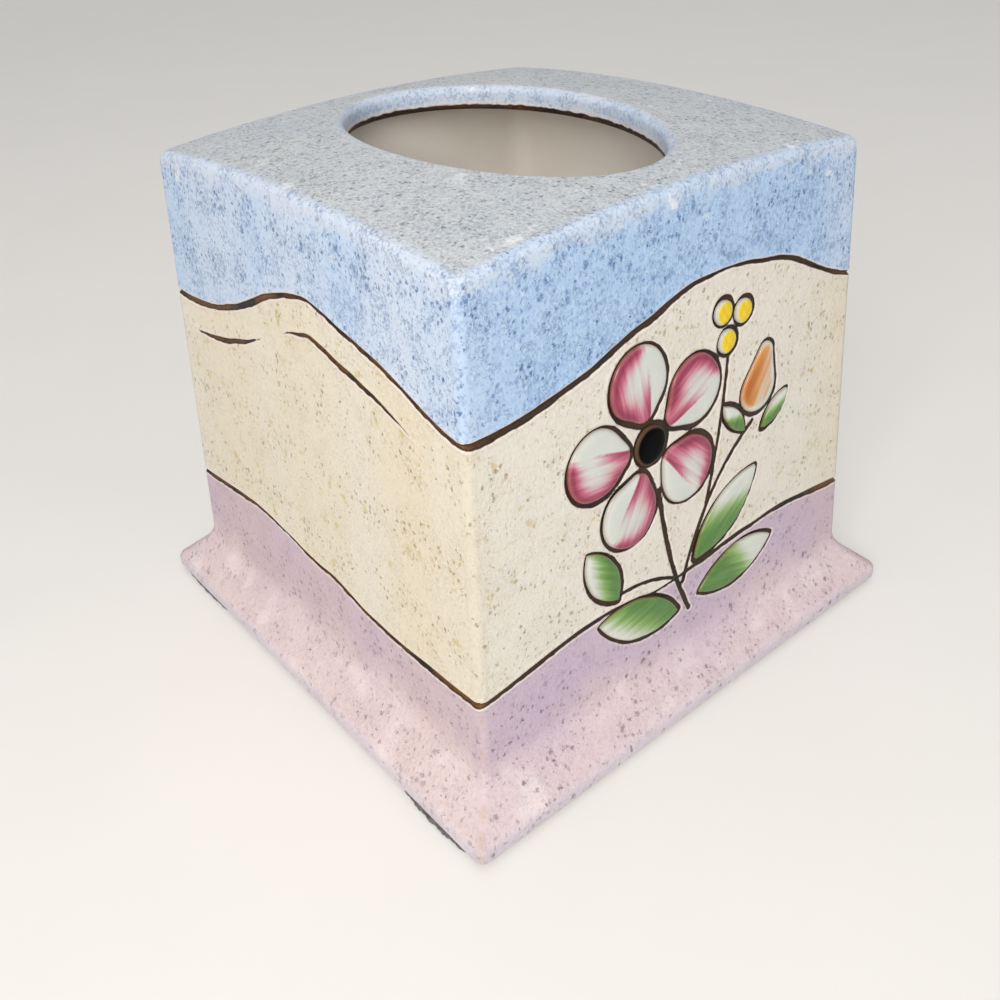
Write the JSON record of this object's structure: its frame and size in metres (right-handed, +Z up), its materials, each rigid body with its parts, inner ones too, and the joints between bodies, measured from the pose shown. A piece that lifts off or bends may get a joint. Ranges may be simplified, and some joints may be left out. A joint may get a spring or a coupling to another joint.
{
  "type": "tissue box cover",
  "caption": "Square glazed ceramic cover for an upright tissue carton, with leaning walls, a crowned roof with an oval opening, a flared coved foot and a floral relief on the front",
  "frame": {"origin": "on the table, under the middle of the cover", "axes": "+Z up; -Y is the front wall with the relief; +X is to the right seen from the front"},
  "size_m": [0.161, 0.161, 0.1432],
  "materials": {
    "blue_speckled_glaze": "satin glaze with darker blue speckles",
    "cream_speckled_glaze": "satin glaze with tan speckles",
    "lilac_speckled_glaze": "satin glaze with mauve speckles",
    "white_gloss_glaze": "glossy, brushed with rose",
    "green_gloss_glaze": "glossy, brushed over white",
    "orange_gloss_glaze": "glossy, brushed over white",
    "yellow_gloss_glaze": "thick and glossy",
    "black_gloss_glaze": "thick and glossy",
    "grey_felt": "pressed wool felt"
  },
  "bodies": {
    "root": {"roof": "blue_speckled_glaze", "front_wall": "cream_speckled_glaze", "front_foot": "lilac_speckled_glaze", "right_wall": "cream_speckled_glaze", "right_foot": "lilac_speckled_glaze", "back_wall": "cream_speckled_glaze", "back_foot": "lilac_speckled_glaze", "left_wall": "cream_speckled_glaze", "left_foot": "lilac_speckled_glaze", "front_left_felt_strip": "grey_felt", "back_left_felt_strip": "grey_felt", "front_right_felt_strip": "grey_felt", "back_right_felt_strip": "grey_felt", "flower_centre": "black_gloss_glaze", "petal_1": "white_gloss_glaze", "petal_2": "white_gloss_glaze", "petal_3": "white_gloss_glaze", "petal_4": "white_gloss_glaze", "petal_5": "white_gloss_glaze", "bud": "orange_gloss_glaze", "upper_left_leaf": "green_gloss_glaze", "lower_left_leaf": "green_gloss_glaze", "upper_right_leaf": "green_gloss_glaze", "lower_right_leaf": "green_gloss_glaze", "left_sepal": "green_gloss_glaze", "right_sepal": "green_gloss_glaze", "berry_1": "yellow_gloss_glaze", "berry_2": "yellow_gloss_glaze", "berry_3": "yellow_gloss_glaze"}
  },
  "joints": []
}
